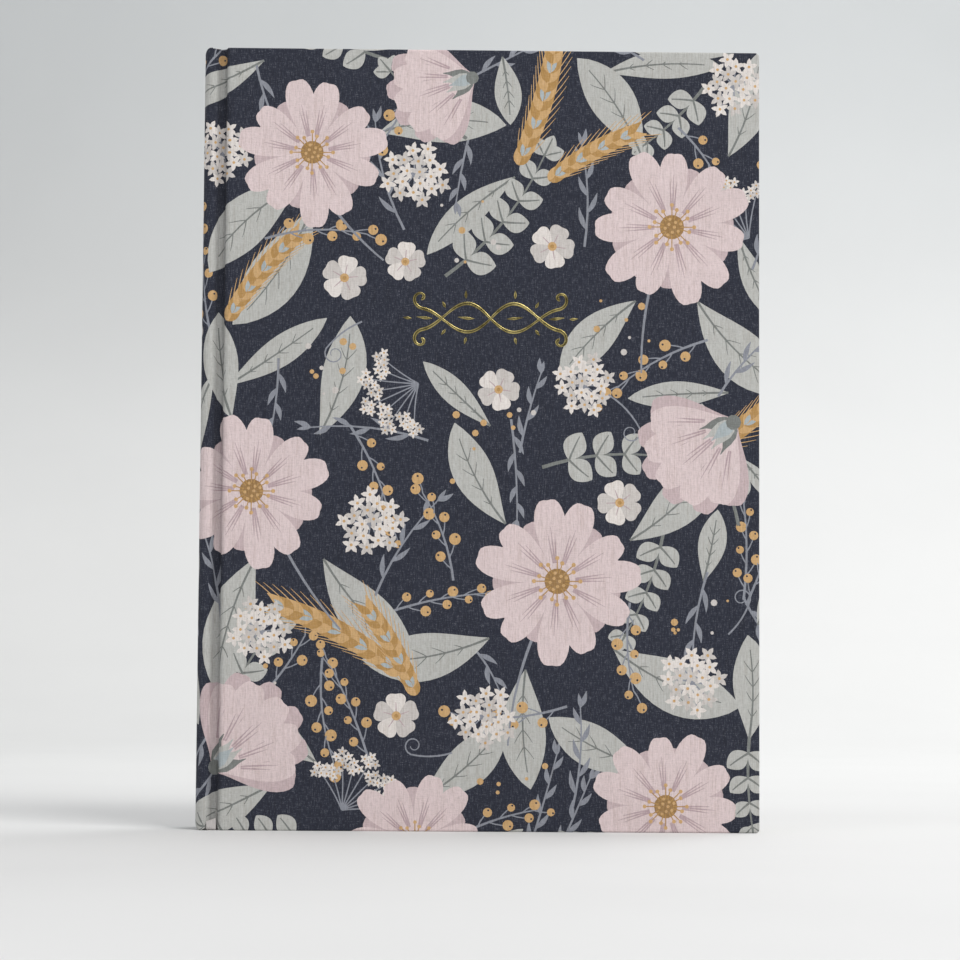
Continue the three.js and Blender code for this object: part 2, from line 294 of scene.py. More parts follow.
def satin_material():
    """The ribbon: fine ribs across, and a silky shine that is drawn out along it."""
    m = Nodes("ribbon_satin")
    place = m.flat_place()
    rib = m.noise(m.scaled(place, 1.2, 9.0), 1.0)
    long = m.noise(m.scaled(place, 5.0, 0.25), 1.0)
    colour = m.mix(m.ramp(long, 0.3, 0.7), linear(186, 181, 180), linear(214, 209, 206))
    colour = m.mix(m.times(rib, 0.25), colour, linear(160, 154, 153))
    bump = m.grown(rib, 0.6, long), 0.35, 0.0001
    return m.finish(colour, bump, 0.36, Specular_IOR_Level=0.55, Sheen_Weight=0.15)


# Meshes


def add_piece(name, points, faces, *materials, uv=None, sharp_above=38.0, kinds=None):
    """A mesh from points in millimetres.

    uv gives a flat place for each corner of each face, or for each point, and kinds the number of each face's material.
    """
    mesh = bpy.data.meshes.new(name)
    mesh.from_pydata([(x * MM, y * MM, z * MM) for x, y, z in points], [], faces)
    for material in materials:
        mesh.materials.append(material)
    if uv:
        layer = mesh.uv_layers.new(name="flat")
        corners = [uv[v] for face in faces for v in face] if len(uv) == len(points) else uv
        layer.data.foreach_set("uv", [c for corner in corners for c in corner])
    if kinds:
        mesh.polygons.foreach_set("material_index", kinds)
    mesh.polygons.foreach_set("use_smooth", [True] * len(mesh.polygons))
    mark_sharp(mesh, math.radians(sharp_above))
    made = bpy.data.objects.new(name, mesh)
    bpy.context.scene.collection.objects.link(made)
    return made


def mark_sharp(mesh, limit):
    work = bmesh.new()
    work.from_mesh(mesh)
    for edge in work.edges:
        if len(edge.link_faces) == 2:
            edge.smooth = edge.calc_face_angle(0.0) < limit
    work.to_mesh(mesh)
    work.free()


def rows_of_faces(rows, wide, closed=True, first=0):
    """Four-sided faces between rows of points, where each row is a ring or, if it isn't closed, a line."""
    faces = []
    for row in range(rows - 1):
        base = first + row * wide
        for k in range(wide if closed else wide - 1):
            a, b = base + k, base + (k + 1) % wide
            faces.append((a, b, b + wide, a + wide))
    return faces


def tube_faces(rings, around):
    """Faces between rings of points, with a cap at either end."""
    caps = [tuple(reversed(range(around))), tuple(range((rings - 1) * around, rings * around))]
    return rows_of_faces(rings, around) + caps


def slab_faces(count):
    """Faces of a slab between two heights, over a ring of points that runs along one side and back along the other."""
    around = 2 * count
    faces = rows_of_faces(2, around)
    for k in range(count - 1):
        other = around - 1 - k
        faces += [(k, other, other - 1, k + 1), (around + k, around + k + 1, around + other - 1, around + other)]
    return faces


def turned_over(faces):
    return [tuple(reversed(face)) for face in faces]


def placed_on(points, faces, back):
    """The points and faces as they are at the front of the book, or mirrored to the back."""
    return ([(x, -y, z) for x, y, z in points], turned_over(faces)) if back else (points, faces)


def bend(piece, body, start_x, end_x, y=0.0):
    """Bakes the piece's place into its points; it does not bend the piece. body, start_x, end_x and y are not used."""
    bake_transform(piece)


# The print's motifs, in millimetres on the front cover: x from the spine to the fore-edge, z from tail to head

NAVY, SAGE, SAGE_RIB, BLUSH, BLUSH_BACK, BLUSH_LINE, CREAM, CREAM_BACK = range(8)
OCHRE, OCHRE_DARK, STEM, CENTRE, PALE_BLUE = range(8, 13)

INKS = [
    linear(*colour)
    for colour in (
        (46, 49, 61), (189, 189, 185), (126, 129, 126), (222, 204, 204), (202, 182, 184), (188, 166, 170),
        (228, 221, 216), (206, 200, 196), (206, 168, 118), (182, 143, 88), (142, 145, 154), (160, 126, 82),
        (174, 183, 186),
    )
]

shapes = []  # (ink, points) from the lowest to the topmost


def polar(x, y, radius, angle):
    return (x + radius * math.cos(angle), y + radius * math.sin(angle))


def moved(points, x, y, turn, size=1.0):
    """Points turned by an angle in degrees, scaled and set down at a place."""
    c, s = math.cos(math.radians(turn)) * size, math.sin(math.radians(turn)) * size
    return [(x + c * px - s * py, y + s * px + c * py) for px, py in points]


def curve(x, y, turn, length, bend, steps=10):
    """Points along a line that starts in a direction and bends by an angle over its length."""
    points, heading = [(x, y)], math.radians(turn)
    for _ in range(steps):
        heading += math.radians(bend) / steps
        x, y = polar(x, y, length / steps, heading)
        points.append((x, y))
    return points


def spiral(line, turn, radius, shrink, steps):
    """Winds the end of a line up, by an angle in radians at each step, on a radius that shrinks with the step."""
    heading, spot = math.radians(heading_at(line, len(line) - 1)), line[-1]
    for step in range(steps):
        heading += turn
        spot = polar(*spot, abs(turn) * shrink(radius, step), heading)
        line.append(spot)
    return line


def heading_at(points, index):
    a, b = points[max(index - 1, 0)], points[min(index + 1, len(points) - 1)]
    return math.degrees(math.atan2(b[1] - a[1], b[0] - a[0]))


def band(ink, line, widths):
    """Prints a band along a line, half of each width on either side."""
    one, other = [], []
    for index, (x, y) in enumerate(line):
        across = math.radians(heading_at(line, index) + 90)
        one.append(polar(x, y, widths[index] / 2, across))
        other.append(polar(x, y, -widths[index] / 2, across))
    shapes.append((ink, one + other[::-1]))


def stem(x, y, turn, length, bend, wide=1.3, narrow=0.7, ink=STEM, steps=10):
    line = curve(x, y, turn, length, bend, steps)
    band(ink, line, spread(wide, narrow, steps))
    return line


def disc(x, y, radius, ink, sides=12):
    shapes.append((ink, [polar(x, y, radius, 2 * math.pi * i / sides) for i in range(sides)]))


def leaf(x, y, turn, length, width, bend=20, veins=4, fullest=0.55):
    """A broad leaf with a middle rib and side veins, fullest past its middle."""
    steps = 14
    line = curve(x, y, turn, length, bend, steps)
    power = math.log(0.5) / math.log(fullest)
    widths = [0.4 + width * math.sin(math.pi * (i / steps) ** power) ** 0.85 for i in range(steps)] + [0.25]
    band(SAGE, line, widths)
    rib = line[:steps - 1]
    band(SAGE_RIB, rib, spread(0.9, 0.4, len(rib)))
    for index in range(1, veins + 1):
        at = 1 + round(index * (steps - 4) / (veins + 1))
        for side in (-1, 1):
            vein = curve(*line[at], heading_at(line, at) + side * 42, 0.36 * widths[at], -side * 12, 3)
            band(SAGE_RIB, vein, [0.42, 0.38, 0.32, 0.2])


def petal(inner, outer, width, notch=0.05):
    """A petal along X, narrow at its foot, with a round tip that has a small notch."""
    shoulder = inner + (outer - inner) * 0.68
    side, tip = [], []
    for i in range(8):
        t = i / 8
        half = width / 2 * (0.3 + 0.7 * math.sin(math.pi / 2 * t) ** 1.4)
        side.append((inner + (shoulder - inner) * t, half))
    for i in range(13):
        angle = math.pi / 2 * (1 - i / 6)
        dent = notch * outer * math.exp(-((angle / 0.4) ** 2))
        tip.append((shoulder + (outer - shoulder) * math.cos(angle) - dent, width / 2 * math.sin(angle)))
    return side + tip + [(px, -py) for px, py in reversed(side)]


def streaks(x, y, turn, inner, outer, apart):
    """Three fine lines from a petal's foot."""
    for i in (-1, 0, 1):
        reach, angle = outer * (1 - 0.12 * abs(i)), math.radians(turn + apart * i)
        line = [polar(x, y, inner + (reach - inner) * k / 2, angle) for k in range(3)]
        band(BLUSH_LINE, line, [0.7, 0.55, 0.15])


def bloom(x, y, radius, turn=0.0, petals=11):
    """An open flower with two rows of petals round a dotted centre."""
    step, wide = 360 / petals, 2 * math.pi * radius / petals
    for i in range(petals):
        outline = petal(0.1 * radius, 0.8 * radius, 0.5 * wide, 0.03)
        shapes.append((BLUSH_BACK, moved(outline, x, y, turn + step * (i + 0.5))))
    for i in range(petals):
        angle = turn + step * i + 3 * math.sin(3.1 * i + turn)
        size = 1 + 0.06 * math.sin(2.3 * i + turn)
        outline = petal(0.08 * radius, radius, 0.64 * wide, 0.045)
        shapes.append((BLUSH, moved(outline, x, y, angle, size)))
        streaks(x, y, angle, 0.22 * radius, 0.66 * radius, 0.13 * step)
    disc(x, y, 0.155 * radius, CENTRE, 14)
    for i in range(16):
        angle = 2 * math.pi * (i + 0.3 * (i % 2)) / 16
        tip = polar(x, y, (0.225 if i % 2 else 0.28) * radius, angle)
        band(OCHRE_DARK, [polar(x, y, 0.1 * radius, angle), tip], [0.5, 0.35])
        disc(*tip, 0.027 * radius, OCHRE, 7)
    for i in range(9):
        disc(*polar(x, y, 0.04 * radius * math.sqrt(i + 0.6), 2.4 * i), 0.022 * radius, OCHRE, 6)


def side_bloom(x, y, size, turn):
    """A flower seen from the side on its cup: petals fan out along the direction of turn."""
    for angle, reach in ((-50, 0.84), (50, 0.84), (-30, 0.97), (30, 0.97), (-10, 1.03), (10, 1.03)):
        outline = petal(0.06 * size, reach * size, 0.3 * size, 0.04)
        shapes.append((BLUSH_BACK, moved(outline, x, y, turn + angle)))
    for angle, reach in ((-40, 0.84), (40, 0.84), (-20, 0.94), (20, 0.94), (0, 0.97)):
        shapes.append((BLUSH, moved(petal(0.04 * size, reach * size, 0.31 * size), x, y, turn + angle)))
        streaks(x, y, turn + angle, 0.28 * size, 0.64 * size, 4)
    for angle, ink in ((-40, SAGE_RIB), (40, SAGE_RIB), (-15, SAGE), (15, SAGE), (0, PALE_BLUE)):
        cup = curve(x, y, turn + angle, (0.34 if angle else 0.28) * size, -angle * 0.5, 5)
        band(ink, cup, [1.8, 0.12 * size, 0.13 * size, 0.09 * size, 1.2, 0.3])
    disc(x, y, 0.075 * size, SAGE_RIB, 10)


def small_bloom(x, y, radius, turn=0.0):
    """A small flower with five petals and a dotted eye."""
    turns = [turn + 72 * i for i in range(5)]
    for i, angle in enumerate(turns):
        outline = petal(0.1 * radius, radius, 0.86 * radius, 0.07)
        shapes.append((CREAM if i % 2 else CREAM_BACK, moved(outline, x, y, angle)))
    for angle in turns:
        line = [polar(x, y, far * radius, math.radians(angle)) for far in (0.1, 0.58)]
        band(BLUSH_LINE, line, [0.5, 0.25])
    disc(x, y, 0.2 * radius, OCHRE, 10)
    disc(x, y, 0.09 * radius, OCHRE_DARK, 8)


def floret(x, y, radius, turn, cream, eye):
    """Five lobes round an eye."""
    points = []
    for i in range(20):
        angle = 2 * math.pi * i / 20
        points.append(polar(x, y, radius * (0.72 + 0.28 * math.cos(5 * angle)), angle + turn))
    shapes.append((CREAM if cream else CREAM_BACK, points))
    disc(x, y, eye, OCHRE, 6)


def umbel(x, y, radius, turn=0.0):
    """A flat head of small five-lobed florets, seen from above."""
    count, golden = 19, 2.39996
    places = [(golden * i + turn, radius * math.sqrt((i + 0.5) / count)) for i in range(count)]
    for angle, far in places:
        band(STEM, [(x, y), polar(x, y, far, angle)], [0.6, 0.4])
    for i in reversed(range(count)):
        angle, far = places[i]
        floret(*polar(x, y, far * 0.94, angle), 0.29 * radius, i + turn, i % 3, 0.05 * radius)


def side_umbel(x, y, radius, turn):
    """Florets on a fan of thin rays that spring from one point."""
    for i in range(9):
        angle = turn + 13 * (i - 4)
        reach = radius * ((1.0, 0.78)[i % 2] - 0.012 * (i - 4) ** 2)
        line = curve(x, y, angle, reach, 0.25 * (angle - turn), 5)
        band(STEM, line, [0.6, 0.55, 0.5, 0.5, 0.45, 0.4])
        for k, spot in enumerate(((0, 0), (1.2, 2.3), (1.4, -2.3), (3.2, 0.3))):
            floret(*moved([spot], *line[-1], angle)[0], 2.1, k + i, (i + k) % 3, 0.4)


def wheat(x, y, turn, length, bend=18, size=1.0):
    """An ear of grass: overlapping pointed grains on both sides, with fine awns."""
    pairs = round(length / (3.6 * size))
    line = curve(x, y, turn, length, bend, pairs)
    band(OCHRE_DARK, line, [1.0] * (pairs + 1))
    for index, root in enumerate(line):
        grow = size * (0.75 + 0.25 * math.sin(math.pi * (index + 1) / (pairs + 2)))
        ahead = heading_at(line, index)
        for side in (-1, 1):
            awn = curve(*root, ahead + side * 30, 17 * grow, -side * 12, 4)
            band(OCHRE, awn, [0.5, 0.45, 0.35, 0.3, 0.15])
        for side in (-1, 1):
            grain = curve(*root, ahead + side * 34, 9.5 * grow, -side * 22, 5)
            ink = (OCHRE_DARK, OCHRE)[(index + (side > 0)) % 2]
            band(ink, grain, [w * grow for w in (1.0, 3.3, 3.8, 3.0, 1.6, 0.3)])
            if index % 3 == 1:
                fleck = curve(*root, ahead + side * 20, 5.5 * grow, 0, 3)
                band(PALE_BLUE, fleck, [0.4, 1.7, 1.5, 0.2])


def berries(x, y, turn, length, bend=25, count=9, size=2.0):
    """A thin twig with round berries on short stalks, each with a small dark eye."""
    line = stem(x, y, turn, length, bend, 1.0, 0.5, steps=count)
    for index in range(1, count + 1):
        side = 1 if index % 2 else -1
        away = heading_at(line, index) + side * (52 - 3 * index)
        stalk = curve(*line[index], away, 5.5 + 0.5 * (index * 7 % 5), -side * 25, 3)
        band(STEM, stalk, [0.55, 0.5, 0.45, 0.4])
        disc(*stalk[-1], size * (0.85 + 0.15 * (index % 3)), OCHRE)
        disc(*polar(*stalk[-1], 0.5 * size, math.radians(away)), 0.22 * size, NAVY, 7)


def round_leaves(x, y, turn, length, bend=20, pairs=5, size=7.0):
    """A branch with pairs of small rounded leaves that grow smaller towards its tip."""
    line = stem(x, y, turn, length, bend, 1.4, 0.6, SAGE_RIB, 2 * pairs)
    for index in range(1, pairs + 1):
        at, grow = 2 * index, size * (1.15 - 0.45 * index / pairs)
        for side in (-1, 1):
            angle = heading_at(line, at) + side * 58
            leaf(*line[at], angle, 1.7 * grow, 1.25 * grow, -side * 10, 0, 0.5)
    leaf(*line[-1], heading_at(line, 2 * pairs), 1.3 * size, 0.8 * size, 0, 0, 0.5)


def sprig(x, y, turn, length, bend=20, pairs=6, size=9.0):
    """A twig with thin narrow leaves, alternately left and right."""
    line = stem(x, y, turn, length, bend, 1.0, 0.5, STEM, pairs)
    for index in range(1, pairs + 1):
        side = 1 if index % 2 else -1
        reach = size * (1.1 - 0.35 * index / pairs)
        blade = curve(*line[index], heading_at(line, index) + side * 38, reach, -side * 25, 6)
        band(STEM, blade, [0.4, 1.2, 1.9, 2.0, 1.5, 0.9, 0.15])
    band(STEM, curve(*line[-1], heading_at(line, pairs), 0.6 * size, 8, 4), [0.5, 1.5, 1.6, 1.0, 0.1])


def tendril(x, y, turn, size, hand=1):
    """A fine line that winds up into a small spiral."""
    line = curve(x, y, turn, 1.6 * size, 30 * hand, 6)
    spiral(line, hand * 0.42, size * 0.34, lambda radius, step: radius * (1 - step / 26), 18)
    band(STEM, line, [0.7 - 0.4 * i / len(line) for i in range(len(line))])


def dots(x, y, apart, count, seed):
    pick = random.Random(seed)
    for _ in range(count):
        px, py = polar(x, y, apart * math.sqrt(pick.random()), 2 * math.pi * pick.random())
        disc(px, py, pick.uniform(0.5, 1.5), pick.choice((OCHRE, OCHRE, CREAM_BACK)), 8)


MAKERS = {
    "broad": lambda x, y, turn, length, bend: leaf(x, y, turn, length, 0.3 * length + 2, bend),
    "slim": lambda x, y, turn, length, bend: leaf(x, y, turn, length, 0.2 * length + 2, bend),
    "branch": lambda x, y, turn, length, bend: round_leaves(x, y, turn, length, bend, max(3, round(length / 9)), 5.6),
    "twig": lambda x, y, turn, length, bend: sprig(x, y, turn, length, bend, max(4, round(length / 6)), 8.0),
    "fruit": lambda x, y, turn, length, bend: berries(x, y, turn, length, bend, max(4, round(length / 4.6)), 1.8),
    "small": lambda x, y, turn, radius: small_bloom(x, y, radius, turn),
}
for maker in (leaf, round_leaves, sprig, wheat, berries, tendril, dots, stem, side_umbel, umbel, side_bloom, bloom):
    MAKERS[maker.__name__] = maker


def draw(table):
    """Draws a table's motifs. A row is a kind and the numbers that its maker takes; a kind holds until the next one."""
    for row in table.split(","):
        words = row.split()
        if words[0] in MAKERS:
            kind = words.pop(0)
        MAKERS[kind](*(float(word) if "." in word else int(word) for word in words))


# Tables of the print

# Leaves, twigs and small flowers that fill the ground
FILL = """
    slim -85.1 298 210.8 46 -13.7, twig -100.8 24.8 -123.3 45 -20.6, broad -79 17.4 -151.6 46 -5.4,
    fruit -115.2 287.7 56.6 34 -17.9, slim 47.6 294.4 15.7 46 -22.5, branch -37.2 298.8 162.2 46 -5.1,
    twig -45.5 -5.3 -184.1 46 21.7, small 25 -13.5 57.6 9, slim -104.7 175.1 -116.9 46 13.8,
    fruit -106 189.6 104.2 46 -14.5, broad -110.6 296.8 127.4 25 1.9, twig 27.5 313.1 181.2 46 -11.6,
    small -126 87 12.4 9, slim 94.2 -6.8 34.7 25 -20.5, twig -104.5 37.4 -120.4 40 -14.9,
    broad -125.6 83 -81 46 22.2, fruit 101.9 89.5 82.1 46 17.1, slim 99.9 230.4 -74.4 36 15.9,
    branch 104.5 40 -97.6 38 15.6, twig 63 299.6 151.8 29 -15.9, small -126 177 22.3 9,
    slim -111.4 237.2 106.3 41 6.6, fruit -41.4 25.7 106.4 44 12.1, broad 97.8 302.4 163.7 46 18.4,
    twig 106.6 300.5 61.7 18 19.8, small -53 213 6.2 9, slim -97.4 170.9 31.9 46 5.5,
    twig -113.8 119.5 -93.4 46 8.9, broad -112.4 196.2 106.5 46 0.3, fruit -36.2 83.1 21 40 -16.8,
    slim -115.6 47.7 -111 29 -1.4, branch 71.5 118.5 -97.7 46 -21.4, twig 101.9 90.2 -66.4 34 22.6,
    small 115.5 -13.5 62.3 9, slim 101 144.1 -50.5 22 2.5, fruit 109.6 248.1 77.6 28 -10.4,
    broad -22.6 307.1 167.6 39 21.3, twig 18.7 -9.8 71.6 41 3.8, small 27.5 226 63.5 9,
    slim 12.9 253.1 212.4 46 18.1, twig -5.5 291.6 27.6 30 0.4, broad -112.2 116.7 124.6 24 -4.5,
    fruit 102.9 87.4 65.7 30 5.1, slim -129.5 0 -30 26 -3.6, branch 87.3 290.3 -124.8 33 -17.6,
    twig 105.3 217.7 71.8 25 -10.1, small -126 112 58.5 9, slim 86.7 307.4 16.6 22 -23.8,
    fruit -50.4 155.7 -54 43 -23.6, broad 86.5 96.6 75.3 28 6.6, twig -78.1 181.5 -88.7 29 -11.4,
    small 54 126.5 38.5 9, slim 3.9 155.8 137.3 36 -1.5, twig 11.9 158.5 -81.5 39 -8.2,
    broad -126 182 90 29 25.9, fruit -4.1 0.2 26.7 27 -15.8, slim -95 311.5 173.5 21 -4.5,
    branch -61 -1.7 184.5 46 -15.5, twig -4.5 271.4 -105 29 6.9, small -31.5 44 19.9 9,
    slim -118.2 283.2 108.9 24 -7.5, fruit 108.5 157.9 -75.3 25 12.8, broad 7.7 300.4 -78 27 -9.3,
    twig 29.3 -10.6 64.6 34 3, small 7 170 65.1 8.5, slim 109 26.6 75.8 27 -20.7, twig -3.4 71.7 -43 21 -22.8,
    broad 107.4 79.8 66.7 20 -14.1, fruit -80.7 54 47.6 25 13.8, slim 96 169.5 180.5 39 6,
    branch 53.5 -8.5 -180.5 20 -13.7, twig 15.3 145.6 80.6 32 -8.8, small -29.5 219.5 12.8 8.1,
    slim -2.1 -14.6 40.1 25 -2.1, fruit 76.4 273.1 -40.1 28 -23.8
"""

# On the back alone, where the front has its foil; written as they would be on the front
UNDER_FOIL = """
    broad -2 200 168 34 -22, 10 196 -12 34 -22, slim 2 202 118 22 18, 6 194 -62 22 18, twig -4 194 205 34 16,
    12 202 25 34 16, fruit 0 190 150 30 24, 8 206 -30 30 24, small 3.7 198 12 10, -24 208 40 6.5, 31 187 60 6.5
"""

# Stems and leaves, then sprays, then flowers on top
DESIGN = """
    leaf -70 250 205 52 19 35, -66 240 250 55 20 -25, -40 270 20 50 17 -30, 62 262 110 46 17 25,
    96 262 60 44 16 25, 60 205 215 42 15 20, 84 205 300 52 19 30, -86 104 240 56 20 28, -60 104 300 54 19 24,
    -62 152 60 48 16 30, -96 158 110 42 15 -20, 4 74 205 50 18 -28, 52 70 320 54 20 30, 18 62 262 46 17 20,
    58 112 30 48 17 26, 10 118 130 44 15 -24, 66 24 165 44 16 -22, 104 36 80 40 15 20, -62 26 140 46 16 28,
    -22 12 30 44 16 22,
    round_leaves -14 214 35 62 30 6 6.5, -104 28 75 58 -22 5 6.5, 24 140 20 54 -30 5 6.5,
    100 118 100 44 22 4 6.0, -6 268 150 40 -20 4 5.5,
    sprig -30 232 120 44 -25, 40 226 80 40 20, -20 150 160 46 24, -40 90 70 44 -22, 88 100 250 40 20,
    36 8 75 40 18, -100 80 95 40 16, 92 168 60 34 -20, -88 296 280 34 20,
    wheat 14 258 64 46 16 1.05, 26 252 38 36 -14 0.95, -30 60 140 52 20 1.1, -24 52 112 36 14 0.95,
    70 140 18 44 22 1.0, -98 196 62 40 -18 0.95,
    berries -26 290 250 44 -24 9, 88 190 195 44 26 9, -60 66 262 40 26 8, 34 48 200 42 -26 8,
    -84 228 20 40 -30 8, 58 88 260 34 22 7, -10 96 95 36 26 8,
    tendril -46 196 200 11 1, 50 168 330 11 -1, -10 30 200 10 -1, 96 76 40 10 1,
    dots -54 180 16 9 3, 56 196 14 7 5, 4 150 22 9 7, -6 232 20 7 9, 84 84 14 7 11, -90 54 14 7 13,
    10 24 16 7 15,
    stem -64 250 300 40 20, 70 226 250 50 20, 28 90 240 60 25, -84 128 290 60 20,
    side_umbel -24 172 20 205, 104 230 22 140, -52 8 20 60,
    umbel -26 254 12.5 0.4, -102 262 12 1.4, 40 172 11.5 2.0, -42 118 12.5 0.9, 82 58 12.5 1.8, -84 76 12 2.7,
    2 44 12 0.2, 98 290 12 1.1,
    side_bloom -4 292 34 200, 98 158 40 220, -102 24 40 42,
    bloom -66 262 29 8, 74 234 31 20, -88 130 30 14, 30 96 32 2, 72 10 29 31, -24 -4 27 11
"""


# Camera

SIGHT = {"place": (-0.0195, -1.1, 0.0582), "yaw": 1.030, "pitch": 4.037, "roll": 0.372, "lens": 105.87}


def add_camera():
    data = bpy.data.cameras.new("camera")
    data.sensor_width = 36
    data.lens = SIGHT["lens"]
    data.clip_end = 50
    made = bpy.data.objects.new("camera", data)
    yaw, pitch, roll = (math.radians(SIGHT[key]) for key in ("yaw", "pitch", "roll"))
    ahead = Vector((math.sin(yaw) * math.cos(pitch), math.cos(yaw) * math.cos(pitch), math.sin(pitch)))
    level = Vector((math.cos(yaw), -math.sin(yaw), 0))
    above = level.cross(ahead)
    right = level * math.cos(roll) + above * math.sin(roll)
    up = above * math.cos(roll) - level * math.sin(roll)
    for row in range(3):
        made.matrix_world[row][:] = (right[row], up[row], -ahead[row], SIGHT["place"][row])
    bpy.context.scene.collection.objects.link(made)
    bpy.context.scene.camera = made


add_camera()


# Ribbon marker

RIBBON_WIDTH, RIBBON_THICK = 4.0, 0.3
RIBBON_X = -104.9  # where it is glued behind the headband
BAND_X, BAND_Z = -103.725, 301.3  # middle of the headband's cord, over which it bends
LANE_X, OUT_X = -100.425, -102.075  # its lane in the book, and where it comes out of the joint's notch
RIBBON_BEND = 1.2  # radius of its bends
RIBBON_FLOOR = 0.25  # height of its middle on the floor
NOTCH_Y = -11.6  # where it turns up in the notch
ARCH, SLANT = 0.12, 0.28  # how much it arches over the headband, and how its cut end slants


def ribbon_stations():
    """Middle of the ribbon, the way across it and the way through it, from the headband to the end in the notch."""
    side, back = Vector((1, 0, 0)), Vector((0, 1, 0))
    # Behind the headband, over it, and down into the lane
    made = [(Vector((RIBBON_X, 0, z)), back, side) for z in (293.0, 295.0, 297.0, 299.0)]
    for step in range(9):
        angle = math.radians(180 - 17 * step)
        away = Vector((math.cos(angle), 0, math.sin(angle)))
        made.append((Vector((BAND_X, 0.0, BAND_Z)) + away * RIBBON_BEND, back, away))
    start, end = made[-1][0], Vector((LANE_X, 0, 297.5))
    for step in range(1, 15):
        t = step / 14
        ease = smooth(t)
        turn = math.radians(90) * min(1.0, ease * 1.5)
        middle = start.x + (end.x - start.x) * ease, 0.25 * math.sin(math.pi * t), start.z + (end.z - start.z) * t
        across, through = (math.sin(turn), math.cos(turn), 0), (math.cos(turn), -math.sin(turn), 0)
        made.append((Vector(middle), Vector(across), Vector(through)))
    # Down the lane, round on to the floor, and out to the notch
    for z in range(280, 10, -20):
        made.append((Vector((LANE_X, 0, z)), side, -back))
    for step in range(9):
        angle = math.radians(90 * step / 8)
        low = RIBBON_FLOOR + RIBBON_BEND * (1 - math.sin(angle))
        middle = Vector((LANE_X, -RIBBON_BEND * (1 - math.cos(angle)), low))
        made.append((middle, side, Vector((0, -math.cos(angle), -math.sin(angle)))))
    for step in range(1, 9):
        t = step / 8
        x, y = LANE_X + (OUT_X - LANE_X) * smooth(t), -RIBBON_BEND + (NOTCH_Y + RIBBON_BEND) * t
        made.append((Vector((x, y, RIBBON_FLOOR)), side, Vector((0, 0, -1))))
    # Up in the notch, where it turns to face outwards, and on to its cut end
    end_x, up = -101.85, Vector((0.0, -0.1, 1.0)).normalized()
    chord = Vector((0.86, 0.51, 0)).normalized()
    for step in range(1, 9):
        t = step / 8
        angle = math.radians(90 * t)
        across = side.lerp(chord, t).normalized()
        ahead = Vector((0, -math.cos(angle), math.sin(angle)))
        high = RIBBON_FLOOR + 1.1 * (1 - math.cos(angle))
        middle = Vector((OUT_X + (end_x - OUT_X) * t, NOTCH_Y - 1.75 * math.sin(angle), high))
        made.append((middle, across, ahead.cross(across).normalized()))
    top = made[-1][0]
    for step in range(1, 6):
        t = step / 5
        made.append((top + Vector((-0.1 * t, -0.25 * t * t, 2.7 * t)), chord, up.cross(chord).normalized()))
    return made


def add_ribbon():
    points, uv, along = [], [], 0.0
    stations = ribbon_stations()
    across_steps, count = 6, len(stations)
    arched, slanted = 30, 5  # stations at its start that arch, and at its cut end that slant
    for index, (middle, across, through) in enumerate(stations):
        if index:
            along += (middle - stations[index - 1][0]).length
        for face in (1, -1):
            for step in range(across_steps + 1):
                share = (step / across_steps - 0.5) * face
                skew = max(0.0, index - count + slanted) * SLANT * share
                crown = ARCH * (share * share * 4 - 1) if index < arched else 0.0
                spot = middle + across * (share * RIBBON_WIDTH) + through * (face * RIBBON_THICK / 2 + crown)
                points.append(tuple(spot + Vector((0, 0, skew))))
                uv.append((share * RIBBON_WIDTH, along))
    faces = tube_faces(count, 2 * (across_steps + 1))
    piece = add_piece("ribbon", points, faces, satin_material(), uv=uv, sharp_above=60)
    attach(piece, "spine_and_block")
    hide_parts("ribbon_marker")


add_ribbon()


# Printed cloth

FULL = TURNED_Y - FRONT  # how deep the covers' edges are
WRAP = math.pi * EDGE + FULL - 2 * EDGE  # length of cloth round such an edge
LIP = ((-101.917, -12.1), (-101.773, -11.85), (-101.4, -11.85))
BEAD_END = math.radians(330)
UNPRINTED = (0.5, 0.48, 0.45)  # the cloth's inner face
DIP_FROM, DIP_TO, DIP_Y = -104.6, -99.0, -8.5  # where the joint dips at head and tail: along X, and out of this Y


def lip(t):
    s = 1 - t
    return tuple(s * s * a + 2 * s * t * b + t * t * c for a, b, c in zip(*LIP))


# Lengths of the cloth's runs from the spine's middle: half the spine, shoulder, lip, groove, fillet, wall and rounding
RUNS = (
    -HINGE_Y, COVER * (BEAD_END - math.pi), sum(math.dist(lip(i / 16), lip((i + 1) / 16)) for i in range(16)),
    WALL_X - GROOVE_FILLET - LIP[2][0], GROOVE_FILLET * math.pi / 2, GROOVE_Y - GROOVE_FILLET - FRONT - EDGE,
    math.pi / 2 * math.sqrt((EASE * EASE + EDGE * EDGE) / 2),
)
STARTS = [sum(RUNS[:i]) for i in range(len(RUNS) + 1)]
FACE_AT = STARTS[-1] - WALL_X - EASE  # u of the face is x plus this
U_EDGE = RIGHT - EDGE + FACE_AT


